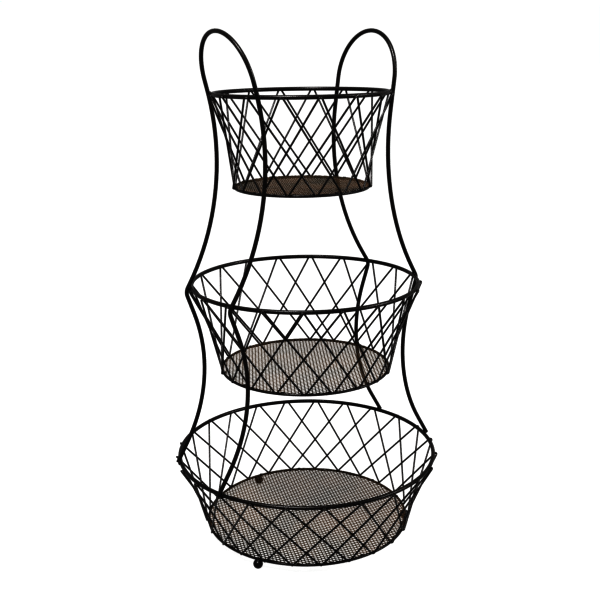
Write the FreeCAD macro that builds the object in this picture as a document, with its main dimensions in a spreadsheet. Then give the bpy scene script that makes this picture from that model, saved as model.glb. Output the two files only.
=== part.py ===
import FreeCAD, Part
import math
import os

# Three-tier round wire basket stand.
# Millimetres.  +Z is up, +X runs through the two handles, and the origin is on
# the floor at the centre of the ball feet.

DOC = FreeCAD.newDocument("three_tier_basket_stand")

# ---------------------------------------------------------------------------
# Driving dimensions
# ---------------------------------------------------------------------------

DIMENSIONS = {
    # wire gauges
    "frame_wire": 4.5,
    "rim_wire": 4.5,
    "base_wire": 3.0,
    "lattice_wire": 2.0,
    "weld_bite": 0.2,          # how far two welded wires sink into each other
    "layer_step": 1.4,         # radial step between rising and falling lattice legs
    # ball feet
    "foot_diameter": 11.0,
    "foot_azimuth": -31.0,
    "foot_count": 3,
    # mesh floors
    "mesh_thickness": 0.6,
    # baskets: wire-centre radius of rim and base ring, heights above the floor,
    # and how far along X the hand-fitted basket sits off the stand's axis
    "bottom_rim_radius": 155.0,
    "bottom_base_radius": 123.0,
    "bottom_base_height": 11.5,
    "bottom_rim_height": 100.0,
    "bottom_shift": 0.0,
    "bottom_pairs": 24,
    "bottom_phase": 5.0,
    "bottom_drift": 1.7,
    "middle_rim_radius": 132.3,
    "middle_base_radius": 99.5,
    "middle_base_height": 208.0,
    "middle_rim_height": 312.0,
    "middle_shift": 0.0,
    "middle_pairs": 20,
    "middle_phase": 0.5,
    "middle_drift": -1.2,
    "top_rim_radius": 98.3,
    "top_base_radius": 76.3,
    "top_base_height": 424.5,
    "top_rim_height": 528.5,
    "top_shift": -2.0,
    "top_pairs": 16,
    "top_phase": 2.1,
    "top_drift": 1.6,
    "drift_azimuth": 57.0,     # where the hand-set lattice pitch runs widest
    # lattice bends
    "lattice_strands": 4,
    "top_bend_width": 3.0,
    "top_bend_drop": 0.5,
    "foot_bend_width": 1.6,
    "foot_bend_rise": 0.5,
    "bend_share": 0.48,        # part of a bend's width that its corner arc takes up
    # side frames
    "leg_half_spacing": 53.5,
    "lower_leg_lean": 31.2,    # degrees from vertical, leaning in going up
    "middle_leg_lean": 19.4,   # leaning out going up to the middle rim
    "upper_leg_lean": 31.9,    # leaning in above the middle rim
    "lower_bend_radius": 184.0,
    "middle_bend_radius": 12.0,
    "middle_bend_drop": 4.0,   # bend below the middle rim that it hangs on
    "middle_bend_stand_off": 2.9,  # bend's corner beyond the leg's reach at that rim
    "upper_bend_radius": 278.0,
    "left_leg_pinch": 2.3,     # how much nearer the middle plane a leg is bent below
    "right_leg_pinch": 5.8,    # the top basket
    "left_leg_seat": 0.0,      # where a leg seats on the bottom rim and where its wire is
    "right_leg_seat": 2.5,     # cut off, as heights above the rim's centre line
    "left_leg_end": 1.0,
    "right_leg_end": 0.5,
    "left_handle_lean": 15.0,
    "right_handle_lean": 8.0,
    "handle_top": 597.0,
}

sheet = DOC.addObject("Spreadsheet::Sheet", "dimensions")
for row, (alias, value) in enumerate(DIMENSIONS.items(), start=1):
    sheet.set("A%d" % row, alias)
    sheet.set("B%d" % row, str(value))
    sheet.setAlias("B%d" % row, alias)
DOC.recompute()


def size(alias):
    """One driving dimension, read back from the spreadsheet."""
    return float(getattr(sheet, alias))


def basket_point(tier, radius, azimuth_deg, height):
    """Point at a radius, azimuth and height about a basket's own axis."""
    angle = math.radians(azimuth_deg)
    return FreeCAD.Vector(
        size(tier + "_shift") + radius * math.cos(angle), radius * math.sin(angle), height)


# ---------------------------------------------------------------------------
# Wire-forming helpers
# ---------------------------------------------------------------------------

def corner_arc(before, corner, after, bend_radius):
    """Tangent arc that rounds one corner: its start, middle and end points."""
    back = (before - corner).normalize()
    ahead = (after - corner).normalize()
    half_turn = (math.pi - back.getAngle(ahead)) / 2
    tangent_length = bend_radius * math.tan(half_turn)
    bisector = (back + ahead).normalize()
    centre = corner + bisector * (bend_radius / math.cos(half_turn))
    middle = centre - bisector * bend_radius
    return corner + back * tangent_length, middle, corner + ahead * tangent_length


def bent_wire_path(corners, bend_radii):
    """Straight runs through the corners, each inner corner rounded by its arc."""
    edges = []
    here = corners[0]
    for index in range(1, len(corners) - 1):
        start, middle, end = corner_arc(
            corners[index - 1], corners[index], corners[index + 1], bend_radii[index - 1])
        edges.append(Part.LineSegment(here, start).toShape())
        edges.append(Part.Arc(start, middle, end).toShape())
        here = end
    edges.append(Part.LineSegment(here, corners[-1]).toShape())
    return edges


def add_path(name, edges):
    """Centre line of a bent wire, kept in the document for its sweep."""
    path = DOC.addObject("Part::Feature", name + "_path")
    path.Shape = Part.Wire(edges)
    return path


def add_swept_wire(name, edges, gauge):
    """Round wire of one gauge swept along a centre line."""
    path = add_path(name, edges)
    first = edges[0]
    start = first.valueAt(first.FirstParameter)
    section = DOC.addObject("Part::Circle", name + "_section")
    section.setExpression("Radius", "dimensions.%s / 2" % gauge)
    heading = first.tangentAt(first.FirstParameter)
    section.Placement = FreeCAD.Placement(
        start, FreeCAD.Rotation(FreeCAD.Vector(0, 0, 1), heading))
    wire = DOC.addObject("Part::Sweep", name)
    wire.Sections = [section]
    wire.Spine = (path, [])
    wire.Solid = True
    wire.Frenet = False
    wire.Label = name
    return wire


# ---------------------------------------------------------------------------
# Baskets
# ---------------------------------------------------------------------------

def add_ring(tier, level, suffix, gauge):
    """Closed wire ring about a basket's axis, at its rim or its base."""
    name = tier + suffix
    ring = DOC.addObject("Part::Torus", name)
    ring.Label = name
    ring.setExpression("Radius1", "dimensions.%s_%s_radius" % (tier, level))
    ring.setExpression("Radius2", "dimensions.%s / 2" % gauge)
    ring.setExpression("Placement.Base.x", "dimensions.%s_shift" % tier)
    ring.setExpression("Placement.Base.z", "dimensions.%s_%s_height" % (tier, level))
    return ring


def add_mesh_floor(tier):
    """Flat mesh disc spot-welded on top of the base ring."""
    disc = DOC.addObject("Part::Cylinder", tier + "_mesh_floor")
    disc.Label = tier + "_mesh_floor"
    disc.setExpression("Radius", "dimensions.%s_base_radius" % tier)
    disc.setExpression("Height", "dimensions.mesh_thickness")
    disc.setExpression("Placement.Base.x", "dimensions.%s_shift" % tier)
    disc.setExpression(
        "Placement.Base.z",
        "dimensions.%s_base_height + dimensions.base_wire / 2 - dimensions.weld_bite" % tier)
    return disc


def pair_azimuth(tier, index):
    """Azimuth of one lattice bend; the hand-set pitch drifts once round the ring."""
    azimuth = size(tier + "_phase") + index * 360.0 / size(tier + "_pairs")
    around = math.radians(azimuth - size("drift_azimuth"))
    return azimuth + size(tier + "_drift") * math.cos(around)


def bend_corners(tier, radius, azimuth, height, width, layer_order):
    """Two corners of one lattice bend, each on the layer of the leg it meets."""
    half_angle = math.degrees(width / 2 / radius)
    inner = radius
    outer = radius + size("layer_step")
    radii = (outer, inner) if layer_order == "outer_first" else (inner, outer)
    return [basket_point(tier, radii[0], azimuth - half_angle, height),
            basket_point(tier, radii[1], azimuth + half_angle, height)]


def lattice_corners(tier, strand):
    """Corners of one zigzag strand, anticlockwise: up to the rim, down to the base."""
    strands = int(size("lattice_strands"))
    seat = size("lattice_wire") / 2 - size("weld_bite")
    rim_radius = size(tier + "_rim_radius") + size("rim_wire") / 2 + seat
    base_seat = size("base_wire") / 2 + seat - size("layer_step") / 2
    base_radius = size(tier + "_base_radius") + base_seat
    rim_height = size(tier + "_rim_height") - size("top_bend_drop")
    base_height = size(tier + "_base_height") + size("foot_bend_rise")
    corners = []
    for index in range(strand, int(size(tier + "_pairs")), strands):
        corners += bend_corners(
            tier, rim_radius, pair_azimuth(tier, index), rim_height,
            size("top_bend_width"), "outer_first")
        corners += bend_corners(
            tier, base_radius, pair_azimuth(tier, index + strands // 2), base_height,
            size("foot_bend_width"), "inner_first")
    return corners


def bend_radius_at(corners, index):
    """Radius that rounds a corner and its partner into one smooth bend."""
    corner = corners[index]
    partner = corners[index + 1] if index % 2 == 0 else corners[index - 1]
    neighbour = corners[index - 1] if index % 2 == 0 else corners[(index + 1) % len(corners)]
    turn = math.pi - (partner - corner).getAngle(neighbour - corner)
    return size("bend_share") * (partner - corner).Length / math.tan(turn / 2)


def add_lattice_strand(tier, strand):
    """Closed zigzag wire, bent in two halves that are butt-welded in mid leg."""
    name = "%s_lattice_strand_%d" % (tier, strand + 1)
    corners = lattice_corners(tier, strand)
    radii = [bend_radius_at(corners, index) for index in range(len(corners))]
    middle = len(corners) // 4 * 2
    first_weld = (corners[-1] + corners[0]) * 0.5
    second_weld = (corners[middle - 1] + corners[middle]) * 0.5
    halves = [
        add_swept_wire(
            name + "_half_a",
            bent_wire_path([first_weld] + corners[:middle] + [second_weld], radii[:middle]),
            "lattice_wire"),
        add_swept_wire(
            name + "_half_b",
            bent_wire_path([second_weld] + corners[middle:] + [first_weld], radii[middle:]),
            "lattice_wire"),
    ]
    wire = DOC.addObject("Part::MultiFuse", name)
    wire.Shapes = halves
    wire.Refine = True
    wire.Label = name
    return wire


def add_basket(tier):
    """One basket: rim, base ring, mesh floor and its interlaced lattice strands."""
    pieces = [
        add_ring(tier, "rim", "_rim", "rim_wire"),
        add_ring(tier, "base", "_base_ring", "base_wire"),
        add_mesh_floor(tier),
    ]
    for strand in range(int(size("lattice_strands"))):
        pieces.append(add_lattice_strand(tier, strand))
    return pieces


# ---------------------------------------------------------------------------
# Side frames: one wire each, an upturned U with a handle loop and two legs
# ---------------------------------------------------------------------------

SIDES = {"left": -1, "right": 1}


def leg_offset(side, pinched):
    """A leg's distance from the middle plane between the two legs of its frame."""
    return size("leg_half_spacing") - (size(side + "_leg_pinch") if pinched else 0.0)


def leg_contact(tier, side, pinched, rise=0.0):
    """(reach, height) of a leg's centre line where its wire seats on the outside of a rim."""
    apart = (size("rim_wire") + size("frame_wire")) / 2 - size("weld_bite")
    radius = size(tier + "_rim_radius") + math.sqrt(apart ** 2 - rise ** 2)
    reach = math.sqrt(radius ** 2 - leg_offset(side, pinched) ** 2)
    return reach + SIDES[side] * size(tier + "_shift"), size(tier + "_rim_height") + rise


def lines_meet(point_a, slope_a, point_b, slope_b):
    """Where two leaning lines meet; a point is (reach, height), a slope is reach/height."""
    height = (point_b[0] - point_a[0] + slope_a * point_a[1] - slope_b * point_b[1]) / (
        slope_a - slope_b)
    return point_a[0] + slope_a * (height - point_a[1]), height


def leg_profile(side, handle_lean):
    """Corners of a leg as (reach, offset, height), from its foot to the handle."""
    lower = -math.tan(math.radians(size("lower_leg_lean")))
    middle = math.tan(math.radians(size("middle_leg_lean")))
    upper = -math.tan(math.radians(size("upper_leg_lean")))
    handle = math.tan(math.radians(handle_lean))
    bottom_contact = leg_contact("bottom", side, True, size(side + "_leg_seat"))
    middle_contact = leg_contact("middle", side, True)
    top_contact = leg_contact("top", side, False)
    middle_bend = (middle_contact[0] + size("middle_bend_stand_off"),
                   middle_contact[1] - size("middle_bend_drop"))
    foot_height = size("bottom_rim_height") + size(side + "_leg_end")
    foot = (bottom_contact[0] + lower * (foot_height - bottom_contact[1]), foot_height)
    lower_bend = lines_meet(bottom_contact, lower, middle_bend, middle)
    upper_bend = lines_meet(middle_bend, upper, top_contact, handle)
    loop_radius = size("leg_half_spacing")
    loop_rise = loop_radius * math.cos(math.radians(handle_lean))
    spring_height = size("handle_top") - size("frame_wire") / 2 - loop_rise
    spring = (top_contact[0] + handle * (spring_height - top_contact[1]), spring_height)
    lower_corners = [(reach, leg_offset(side, True), height)
                     for reach, height in (foot, lower_bend, middle_bend)]
    upper_corners = [(reach, leg_offset(side, False), height)
                     for reach, height in (upper_bend, spring)]
    return lower_corners + upper_corners


def frame_edges(side, handle_lean):
    """Centre line of a side frame: leg, handle loop, leg."""
    bend_radii = [size("lower_bend_radius"), size("middle_bend_radius"),
                  size("upper_bend_radius")]
    profile = leg_profile(side, handle_lean)

    def leg_corners(hand):
        return [FreeCAD.Vector(SIDES[side] * reach, hand * offset, height)
                for reach, offset, height in profile]

    rising = leg_corners(-1)
    falling = leg_corners(1)[::-1]
    lean = math.radians(handle_lean)
    loop_centre = (rising[-1] + falling[0]) * 0.5
    loop_top = loop_centre + FreeCAD.Vector(
        SIDES[side] * math.sin(lean), 0, math.cos(lean)) * size("leg_half_spacing")
    loop = Part.Arc(rising[-1], loop_top, falling[0]).toShape()
    return (bent_wire_path(rising, bend_radii) + [loop]
            + bent_wire_path(falling, bend_radii[::-1]))


def add_side_frame(side):
    edges = frame_edges(side, size(side + "_handle_lean"))
    return add_swept_wire(side + "_frame_wire", edges, "frame_wire")


# ---------------------------------------------------------------------------
# Ball feet under the bottom basket's base ring
# ---------------------------------------------------------------------------

def add_ball_foot(number):
    foot = DOC.addObject("Part::Sphere", "ball_foot_%d" % number)
    foot.Label = "ball_foot_%d" % number
    foot.setExpression("Radius", "dimensions.foot_diameter / 2")
    turn = "(dimensions.foot_azimuth + %d * 360 / dimensions.foot_count)" % (number - 1)
    foot.setExpression(
        "Placement.Base.x", "dimensions.bottom_base_radius * cos(%s * 1deg)" % turn)
    foot.setExpression(
        "Placement.Base.y", "dimensions.bottom_base_radius * sin(%s * 1deg)" % turn)
    foot.setExpression("Placement.Base.z", "dimensions.foot_diameter / 2")
    return foot


# ---------------------------------------------------------------------------
# The stand
# ---------------------------------------------------------------------------

pieces = []
for tier_name in ("bottom", "middle", "top"):
    pieces += add_basket(tier_name)
for side_name in SIDES:
    pieces.append(add_side_frame(side_name))
for foot_number in range(1, int(size("foot_count")) + 1):
    pieces.append(add_ball_foot(foot_number))

DOC.recompute()

for item in DOC.Objects:
    if "Invalid" in item.State or "Error" in item.State:
        raise RuntimeError("%s did not compute: %s" % (item.Label, item.State))
for piece in pieces:
    if piece.Shape.isNull() or not piece.Shape.isValid():
        raise RuntimeError("%s has no valid shape" % piece.Label)
    if len(piece.Shape.Solids) != 1:
        raise RuntimeError("%s should be one solid" % piece.Label)

os.makedirs("parts", exist_ok=True)
for piece in pieces:
    piece.Shape.exportStep("parts/%s.step" % piece.Label)
    print("%-26s %10.1f mm3" % (piece.Label, piece.Shape.Volume))
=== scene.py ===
import math

import bmesh
import bpy
from mathutils import Matrix, Vector, geometry


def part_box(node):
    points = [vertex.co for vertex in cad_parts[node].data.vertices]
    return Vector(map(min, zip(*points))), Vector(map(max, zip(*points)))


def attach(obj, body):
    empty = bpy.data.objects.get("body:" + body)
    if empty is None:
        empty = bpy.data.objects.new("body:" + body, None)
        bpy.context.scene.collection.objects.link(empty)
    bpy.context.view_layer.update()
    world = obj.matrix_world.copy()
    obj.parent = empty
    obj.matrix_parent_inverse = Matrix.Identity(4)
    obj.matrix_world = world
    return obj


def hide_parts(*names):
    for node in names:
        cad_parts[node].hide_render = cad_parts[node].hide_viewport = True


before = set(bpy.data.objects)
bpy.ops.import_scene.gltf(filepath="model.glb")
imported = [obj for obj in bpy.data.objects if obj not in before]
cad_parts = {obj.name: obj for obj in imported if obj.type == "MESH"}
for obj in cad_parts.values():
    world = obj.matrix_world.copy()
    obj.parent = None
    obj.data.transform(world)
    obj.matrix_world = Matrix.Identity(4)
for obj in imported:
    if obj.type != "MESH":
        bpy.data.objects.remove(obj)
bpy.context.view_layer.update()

TIERS = ("bottom", "middle", "top")
MM = 0.001


def add_piece(name, made):
    """Puts a finished bmesh into the scene as an object of its own."""
    mesh = bpy.data.meshes.new(name)
    made.to_mesh(mesh)
    made.free()
    piece = bpy.data.objects.new(name, mesh)
    bpy.context.scene.collection.objects.link(piece)
    return piece


# ---------------------------------------------------------------------------
# Camera, at the photograph's angle
# ---------------------------------------------------------------------------

CAMERA_PLACE = Vector((-0.5757, -0.8762, 0.5776))
CAMERA_HEADING = 33.0          # degrees that the view turns from +Y towards +X
CAMERA_PITCH = 15.38           # degrees below the horizon
CAMERA_ROLL = -0.755           # degrees
CAMERA_LENS = 55.22            # mm
CAMERA_SENSOR = 36.0           # mm
NEAR_CLIP = 0.05
FAR_CLIP = 60.0


def add_camera():
    data = bpy.data.cameras.new("studio_camera")
    data.lens = CAMERA_LENS
    data.sensor_width = CAMERA_SENSOR
    data.clip_start = NEAR_CLIP
    data.clip_end = FAR_CLIP
    camera = bpy.data.objects.new("studio_camera", data)
    bpy.context.scene.collection.objects.link(camera)
    heading = Matrix.Rotation(-math.radians(CAMERA_HEADING), 4, "Z")
    tilt = Matrix.Rotation(math.radians(90.0 - CAMERA_PITCH), 4, "X")
    roll = Matrix.Rotation(math.radians(CAMERA_ROLL), 4, "Z")
    camera.matrix_world = Matrix.Translation(CAMERA_PLACE) @ heading @ tilt @ roll
    bpy.context.scene.camera = camera


# ---------------------------------------------------------------------------
# Materials
# ---------------------------------------------------------------------------

# Each enamel layer is a noise: its scale per metre, its detail and its roughness.
CLOUDS = (14.0, 4.0, 0.5)      # slow drift between the dark and the warm tone
SPECKS = (520.0, 3.0, 0.6)     # thin spots where the coat is worn
SMEARS = (60.0, 3.0, 0.5)      # patches of higher and lower gloss
ORANGE_PEEL = (900.0, 2.0, 0.5)
LUMPS = (220.0, 2.0, 0.5)
TONE_RANGE = (0.35, 0.62)      # cloud values that give the pure dark and warm tones
WORN_RANGE = (0.60, 0.72)      # speck values where wear starts and is full
GLOSS_SWING = 0.12
PEEL_SHARE = 0.45              # height of the orange peel against the lumps
BUMP_STRENGTH = 0.35
BUMP_HEIGHT = 0.35 * MM
BLACK = (0.0, 0.0, 0.0)
WHITE = (1.0, 1.0, 1.0)


def new_material(name):
    material = bpy.data.materials.new(name)
    material.use_nodes = True
    tree = material.node_tree
    return material, tree.nodes, tree.links, tree.nodes["Principled BSDF"]


def noise(nodes, links, place, layer):
    """A noise texture over the object's own coordinates."""
    scale, detail, roughness = layer
    texture = nodes.new("ShaderNodeTexNoise")
    texture.inputs["Scale"].default_value = scale
    texture.inputs["Detail"].default_value = detail
    texture.inputs["Roughness"].default_value = roughness
    links.new(place.outputs["Object"], texture.inputs["Vector"])
    return texture


def ramp(nodes, links, source, stops):
    """A colour ramp with two (position, colour) stops, driven by one value."""
    colours = nodes.new("ShaderNodeValToRGB")
    for element, (position, colour) in zip(colours.color_ramp.elements, stops):
        element.position = position
        element.color = (*colour, 1.0)
    links.new(source, colours.inputs["Fac"])
    return colours


def remap(nodes, links, source, low, high):
    """Moves a 0 to 1 value into a range."""
    span = nodes.new("ShaderNodeMapRange")
    span.inputs["To Min"].default_value = low
    span.inputs["To Max"].default_value = high
    links.new(source, span.inputs["Value"])
    return span.outputs["Result"]


def enamel(name, dark, warm, worn, roughness, specular):
    """Satin enamel on metal: cloudy tone, thin worn specks, orange-peel skin and lumps."""
    material, nodes, links, shader = new_material(name)
    place = nodes.new("ShaderNodeTexCoord")
    clouds = noise(nodes, links, place, CLOUDS)
    tone = ramp(nodes, links, clouds.outputs["Fac"], zip(TONE_RANGE, (dark, warm)))
    specks = noise(nodes, links, place, SPECKS)
    thin = ramp(nodes, links, specks.outputs["Fac"], zip(WORN_RANGE, (BLACK, WHITE)))
    coat = nodes.new("ShaderNodeMix")
    coat.data_type = "RGBA"
    links.new(thin.outputs["Color"], coat.inputs["Factor"])
    links.new(tone.outputs["Color"], coat.inputs["A"])
    coat.inputs["B"].default_value = (*worn, 1.0)
    links.new(coat.outputs["Result"], shader.inputs["Base Color"])
    smears = noise(nodes, links, place, SMEARS)
    gloss = remap(nodes, links, smears.outputs["Fac"],
                  roughness - GLOSS_SWING, roughness + GLOSS_SWING)
    links.new(gloss, shader.inputs["Roughness"])
    shader.inputs["Specular IOR Level"].default_value = specular
    peel = noise(nodes, links, place, ORANGE_PEEL)
    lumps = noise(nodes, links, place, LUMPS)
    height = nodes.new("ShaderNodeMath")
    height.operation = "MULTIPLY_ADD"
    height.inputs[1].default_value = PEEL_SHARE
    links.new(peel.outputs["Fac"], height.inputs[0])
    links.new(lumps.outputs["Fac"], height.inputs[2])
    bump = nodes.new("ShaderNodeBump")
    bump.inputs["Strength"].default_value = BUMP_STRENGTH
    bump.inputs["Distance"].default_value = BUMP_HEIGHT
    links.new(height.outputs["Value"], bump.inputs["Height"])
    links.new(bump.outputs["Normal"], shader.inputs["Normal"])
    return material


# ---------------------------------------------------------------------------
# Expanded-metal mesh floors
# ---------------------------------------------------------------------------

LONG_WAY = 8.10 * MM           # one diamond, knuckle to knuckle, the long way
SHORT_WAY = 4.40 * MM
STRAND_WIDTH = 0.90 * MM
SHEET_THICKNESS = 0.32 * MM
STRAND_TWIST = 0.12 * MM       # how far the strands' edges rise and fall
CORNER_TWIST = (-1, 1, 1, -1)  # down or up at a hole's four corners
FLOOR_SAG = 0.8 * MM           # dip at the middle of each floor
CORNER_CUT = 0.16              # how much of each side a hole's rounded corner takes
CORNER_FULLNESS = 0.15         # how far the corner's middle stands out towards its tip
MERGE_REACH = 0.02 * MM        # points nearer than this at the cut edge become one
SHORTEST_EDGE = 0.01 * MM
LONG_WAY_AZIMUTH = {"bottom": 98.0, "middle": 31.5, "top": 63.0}


def hole_outline(share):
    """The cell's four corners, and the hole in it: three points at each rounded corner."""
    corners = [Vector((LONG_WAY / 2, 0)), Vector((0, SHORT_WAY / 2)),
               Vector((-LONG_WAY / 2, 0)), Vector((0, -SHORT_WAY / 2))]
    outline = []
    for index, tip in enumerate(corners):
        before, after = corners[index - 1], corners[(index + 1) % 4]
        first = tip.lerp(before, CORNER_CUT)
        last = tip.lerp(after, CORNER_CUT)
        middle = first.lerp(last, 0.5).lerp(tip, CORNER_FULLNESS)
        outline.append([first * share, middle * share, last * share])
    return corners, outline


def expanded_metal(name, centre, radius, long_way_deg):
    """Round sheet of expanded metal, cut to a circle and dipping at its middle."""
    made = bmesh.new()
    known = {}

    def corner(x, y, z):
        key = (round(x / MM, 2), round(y / MM, 2), round(z / MM, 2))
        if key not in known:
            known[key] = made.verts.new((x, y, z))
        return known[key]

    spacing = LONG_WAY * SHORT_WAY / math.hypot(LONG_WAY, SHORT_WAY)
    corners, outline = hole_outline(1 - STRAND_WIDTH / spacing)
    twists = [STRAND_TWIST * way for way in CORNER_TWIST]
    long_count = int(radius / (LONG_WAY / 2)) + 2
    short_count = int(radius / (SHORT_WAY / 2)) + 2
    for column in range(-long_count, long_count + 1):
        for row in range(-short_count, short_count + 1):
            x, y = column * LONG_WAY / 2, row * SHORT_WAY / 2
            if (column + row) % 2 or math.hypot(x, y) > radius + LONG_WAY / 2:
                continue
            tips = [corner(x + tip.x, y + tip.y, 0.0) for tip in corners]
            holes = [[corner(x + point.x, y + point.y, height)
                      for point, height in zip(points, (twist, 0.0, twist))]
                     for points, twist in zip(outline, twists)]
            for index in range(4):
                after = (index + 1) % 4
                faces = [(tips[index], holes[index][0], holes[index][1]),
                         (tips[index], holes[index][1], holes[index][2]),
                         (tips[index], holes[index][2], holes[after][0], tips[after])]
                for face in faces:
                    if min(vertex.co.xy.length for vertex in face) < radius:
                        made.faces.new(face)
    for vertex in list(made.verts):
        if not vertex.link_faces:
            made.verts.remove(vertex)
            continue
        if vertex.co.xy.length > radius:
            vertex.co.xy = vertex.co.xy.normalized() * radius
        vertex.co.z -= FLOOR_SAG * (1 - (vertex.co.xy.length / radius) ** 2)
    bmesh.ops.remove_doubles(made, verts=made.verts, dist=MERGE_REACH)
    bmesh.ops.dissolve_degenerate(made, edges=made.edges, dist=SHORTEST_EDGE)
    bmesh.ops.recalc_face_normals(made, faces=made.faces)
    made.normal_update()
    if sum(face.normal.z for face in made.faces) < 0:
        bmesh.ops.reverse_faces(made, faces=made.faces)
    grain = Matrix.Rotation(math.radians(long_way_deg), 4, "Z")
    bmesh.ops.transform(made, matrix=Matrix.Translation(centre) @ grain, verts=made.verts)
    piece = add_piece(name, made)
    solid = piece.modifiers.new("sheet", "SOLIDIFY")
    solid.thickness = SHEET_THICKNESS
    solid.offset = 0.0
    return piece


# ---------------------------------------------------------------------------
# Lattice setting-out, which says where its welds are
# ---------------------------------------------------------------------------

LATTICE_WIRE = 2.0 * MM
LAYER_STEP = 1.4 * MM          # rising legs lie this much outside falling legs
WELD_BITE = 0.2 * MM
TOP_BEND_WIDTH = 3.0 * MM
TOP_BEND_DROP = 0.5 * MM
FOOT_BEND_WIDTH = 1.6 * MM
FOOT_BEND_RISE = 0.5 * MM
PAIRS = {"bottom": 24, "middle": 20, "top": 16}
PHASE = {"bottom": 5.0, "middle": 0.5, "top": 2.1}
DRIFT = {"bottom": 1.7, "middle": -1.2, "top": 1.6}
DRIFT_AZIMUTH = 57.0
LEG_SPAN = 2                   # pitches that one lattice leg crosses


class Ring:
    """A ring of wire read from the frame: its axis, wire-centre radius and gauge."""

    def __init__(self, node):
        low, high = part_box(node)
        self.gauge = high.z - low.z
        self.centre = (low + high) / 2
        self.radius = (high.x - low.x - self.gauge) / 2

    def point(self, azimuth_deg, out=0.0, up=0.0):
        angle = math.radians(azimuth_deg)
        reach = self.radius + out
        return self.centre + Vector((reach * math.cos(angle), reach * math.sin(angle), up))


def pair_azimuth(tier, index):
    """Azimuth of one lattice bend; the hand-set pitch drifts once round the ring."""
    azimuth = PHASE[tier] + index * 360.0 / PAIRS[tier]
    return azimuth + DRIFT[tier] * math.cos(math.radians(azimuth - DRIFT_AZIMUTH))


def lattice_leg(tier, rim, base, rim_index, rising):
    """End points of one straight leg: from its base bend up to its rim bend."""
    turn = 1 if rising else -1
    seat = LATTICE_WIRE / 2 - WELD_BITE
    layer = LAYER_STEP if rising else 0.0
    base_out = base.gauge / 2 + seat - LAYER_STEP / 2 + layer
    rim_out = rim.gauge / 2 + seat + layer
    base_half = turn * math.degrees(FOOT_BEND_WIDTH / 2 / base.radius)
    rim_half = turn * math.degrees(TOP_BEND_WIDTH / 2 / rim.radius)
    base_azimuth = pair_azimuth(tier, rim_index - turn * LEG_SPAN)
    foot = base.point(base_azimuth + base_half, base_out, FOOT_BEND_RISE)
    head = rim.point(pair_azimuth(tier, rim_index) - rim_half, rim_out, -TOP_BEND_DROP)
    return foot, head


# ---------------------------------------------------------------------------
# Welds
# ---------------------------------------------------------------------------

# Half sizes of the nuggets: across, outward and up.
CROSSING_NUGGET = (1.35 * MM, 0.95 * MM, 1.55 * MM)
RIM_BEND_NUGGET = (2.2 * MM, 1.0 * MM, 1.3 * MM)
BASE_BEND_NUGGET = (1.6 * MM, 1.0 * MM, 1.3 * MM)
LEG_NUGGET = (3.1 * MM, 1.5 * MM, 2.9 * MM)
SPOT_NUGGET = (2.4 * MM, 1.7 * MM, 0.45 * MM)
FOOT_NUGGET = (3.0 * MM, 2.2 * MM, 1.3 * MM)
COLLAR_HALF_LENGTH = 1.1 * MM
COLLAR_HEIGHT = 0.22 * MM      # how far a butt weld's flash stands off the wire
NUGGET_SEGMENTS = 12
NUGGET_RINGS = 8
SPOT_INSET = 0.6 * MM          # mesh spot welds lie this far inside the base ring's middle
SPOT_SINK = 0.1 * MM
SPOT_START = 0.4               # share of the spots' spacing before the first one
FOOT_WELD_SINK = 0.6 * MM
RIM_WELD_AZIMUTH = {"bottom": 200.0, "middle": 95.0, "top": 310.0}
BASE_WELD_AZIMUTH = {"bottom": 20.0, "middle": 250.0, "top": 130.0}
MESH_SPOTS = {"bottom": 14, "middle": 12, "top": 10}
FOOT_COUNT = 3
LEG_OFFSET = 53.5 * MM         # a leg's distance from its frame's middle plane at the top rim
LEG_PINCH = {"left": 2.3 * MM, "right": 5.8 * MM}    # how much nearer at the other rims
LEG_SEAT = {"left": 0.0, "right": 2.5 * MM}    # a leg's height over the bottom rim's middle


def add_nuggets(name, nuggets):
    """Smooth weld nuggets; each is a centre, an outward direction and half sizes."""
    made = bmesh.new()
    for centre, outward, half_sizes in nuggets:
        out = Vector(outward).normalized()
        across = Vector((0, 0, 1)).cross(out).normalized()
        up = out.cross(across)
        turn = Matrix((across, out, up)).transposed().to_4x4()
        stretch = Matrix.Diagonal((*half_sizes, 1.0))
        bmesh.ops.create_uvsphere(
            made, u_segments=NUGGET_SEGMENTS, v_segments=NUGGET_RINGS, radius=1.0,
            matrix=Matrix.Translation(centre) @ turn @ stretch)
    for face in made.faces:
        face.smooth = True
    piece = add_piece(name, made)
    piece.data.materials.append(WIRE)
    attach(piece, "root")


def outward_from(ring, place):
    """Level direction from a ring's axis out to a place."""
    out = place - ring.centre
    out.z = 0.0
    return out


def crossing_welds(tier, rim, base):
    """A nugget between the two wires at every crossing of the lattice."""
    nuggets = []
    for index in range(PAIRS[tier]):
        foot, head = lattice_leg(tier, rim, base, index, True)
        for ahead in range(1, 2 * LEG_SPAN):
            other = index - 2 * LEG_SPAN + ahead
            other_foot, other_head = lattice_leg(tier, rim, base, other, False)
            near, far = geometry.intersect_line_line(foot, head, other_foot, other_head)
            place = (near + far) / 2
            nuggets.append((place, outward_from(rim, place), CROSSING_NUGGET))
    return nuggets


def bend_welds(tier, rim, base):
    """Nuggets where the lattice bends are welded to the rim and the base ring."""
    nuggets = []
    for index in range(PAIRS[tier]):
        azimuth = pair_azimuth(tier, index)
        for ring, up, half_sizes in ((rim, -TOP_BEND_DROP, RIM_BEND_NUGGET),
                                     (base, FOOT_BEND_RISE, BASE_BEND_NUGGET)):
            place = ring.point(azimuth, ring.gauge / 2, up)
            nuggets.append((place, outward_from(ring, place), half_sizes))
    return nuggets


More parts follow.
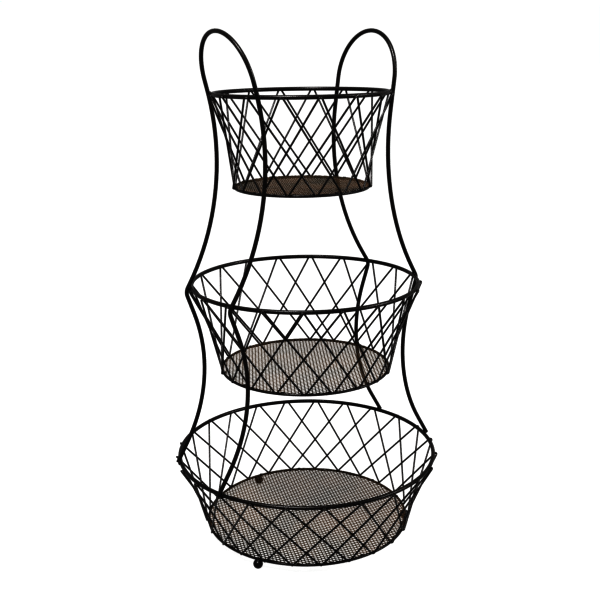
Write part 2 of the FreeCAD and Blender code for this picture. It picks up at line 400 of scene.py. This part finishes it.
def frame_welds(tier, rim):
    """Nuggets where the four legs are welded to the outside of a rim."""
    nuggets = []
    for side, facing in (("left", 180.0), ("right", 0.0)):
        offset = LEG_OFFSET - (LEG_PINCH[side] if tier != "top" else 0.0)
        rise = LEG_SEAT[side] / 2 if tier == "bottom" else 0.0
        out = math.sqrt((rim.gauge / 2) ** 2 - rise ** 2)
        turn = math.degrees(math.asin(offset / (rim.radius + rim.gauge)))
        for azimuth in (facing - turn, facing + turn):
            place = rim.point(azimuth, out, rise)
            nuggets.append((place, outward_from(rim, place), LEG_NUGGET))
    return nuggets


def butt_weld(ring, azimuth):
    """A low collar of flash where the ends of a ring's wire meet."""
    place = ring.point(azimuth)
    swell = ring.gauge / 2 + COLLAR_HEIGHT
    return place, outward_from(ring, place), (COLLAR_HALF_LENGTH, swell, swell)


def mesh_spot_welds(base, top, count):
    """Flat spots of weld that hold a mesh floor's edge down on its base ring."""
    nuggets = []
    for index in range(count):
        place = base.point((index + SPOT_START) * 360.0 / count, -SPOT_INSET)
        place.z = top - SPOT_SINK
        nuggets.append((place, outward_from(base, place), SPOT_NUGGET))
    return nuggets


def foot_welds():
    """Nuggets on top of the ball feet, where the base ring is welded to them."""
    nuggets = []
    for number in range(1, FOOT_COUNT + 1):
        low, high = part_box("ball_foot_%d" % number)
        top = Vector(((low.x + high.x) / 2, (low.y + high.y) / 2, high.z - FOOT_WELD_SINK))
        nuggets.append((top, (top.x, top.y, 0.0), FOOT_NUGGET))
    return nuggets


# ---------------------------------------------------------------------------
# Building
# ---------------------------------------------------------------------------

add_camera()
WIRE = enamel("satin_black_enamel", (0.0025, 0.0020, 0.0017), (0.0080, 0.0060, 0.0048),
              (0.034, 0.021, 0.014), 0.36, 0.36)
MESH = enamel("mesh_enamel", (0.028, 0.0220, 0.0115), (0.082, 0.054, 0.033),
              (0.120, 0.074, 0.044), 0.5, 0.18)

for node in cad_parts.values():
    node.data.materials.clear()
    node.data.materials.append(WIRE)

for tier in TIERS:
    low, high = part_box(tier + "_mesh_floor")
    floor = expanded_metal(tier + "_expanded_mesh", (low + high) / 2, (high.x - low.x) / 2,
                           LONG_WAY_AZIMUTH[tier])
    floor.data.materials.append(MESH)
    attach(floor, "root")
    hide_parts(tier + "_mesh_floor")
    rim, base = Ring(tier + "_rim"), Ring(tier + "_base_ring")
    add_nuggets(tier + "_lattice_welds",
                crossing_welds(tier, rim, base) + bend_welds(tier, rim, base))
    add_nuggets(tier + "_frame_welds", frame_welds(tier, rim))
    add_nuggets(tier + "_ring_butt_welds", [butt_weld(rim, RIM_WELD_AZIMUTH[tier]),
                                            butt_weld(base, BASE_WELD_AZIMUTH[tier])])
    add_nuggets(tier + "_mesh_spot_welds", mesh_spot_welds(base, high.z, MESH_SPOTS[tier]))
add_nuggets("ball_foot_welds", foot_welds())

# ---------------------------------------------------------------------------
# Studio
# ---------------------------------------------------------------------------

STUDIO_RADIUS = 25.0
TABLE_GLOW = 0.95              # light from below, so that shadows on the table stay pale
TABLE_ALBEDO = 0.05
WORLD_STRENGTH = 1.02          # a hair over white, so that the background stays white
VIEW_GAMMA = 0.38              # brings the black enamel down to its depth in the picture
LIGHT_TARGET = (0, 0, 0.3)


def light_table():
    """White acrylic table top, mostly lit from below."""
    material, _, _, shader = new_material("white_acrylic")
    shader.inputs["Base Color"].default_value = (TABLE_ALBEDO, TABLE_ALBEDO, TABLE_ALBEDO, 1.0)
    shader.inputs["Emission Color"].default_value = (*WHITE, 1.0)
    shader.inputs["Emission Strength"].default_value = TABLE_GLOW
    shader.inputs["Roughness"].default_value = 0.9
    shader.inputs["Specular IOR Level"].default_value = 0.1
    return material


def add_studio_floor():
    made = bmesh.new()
    bmesh.ops.create_circle(made, cap_ends=True, segments=96, radius=STUDIO_RADIUS)
    floor = add_piece("studio_floor", made)
    floor.data.materials.append(light_table())


def add_area_light(name, place, size, power):
    data = bpy.data.lights.new(name, "AREA")
    data.shape = "SQUARE"
    data.size = size
    data.energy = power
    light = bpy.data.objects.new(name, data)
    bpy.context.scene.collection.objects.link(light)
    light.location = place
    aim = Vector(LIGHT_TARGET) - Vector(place)
    light.rotation_mode = "QUATERNION"
    light.rotation_quaternion = aim.to_track_quat("-Z", "Y")


def add_world():
    world = bpy.data.worlds.new("studio_world")
    bpy.context.scene.world = world
    world.use_nodes = True
    shade = world.node_tree.nodes["Background"]
    shade.inputs["Color"].default_value = (*WHITE, 1.0)
    shade.inputs["Strength"].default_value = WORLD_STRENGTH


add_studio_floor()
add_world()
add_area_light("key_light", (-1.2, -0.8, 2.6), 0.45, 170.0)
add_area_light("side_light", (1.5, -1.5, 1.3), 0.35, 60.0)
bpy.context.scene.view_settings.view_transform = "Standard"
bpy.context.scene.view_settings.gamma = VIEW_GAMMA
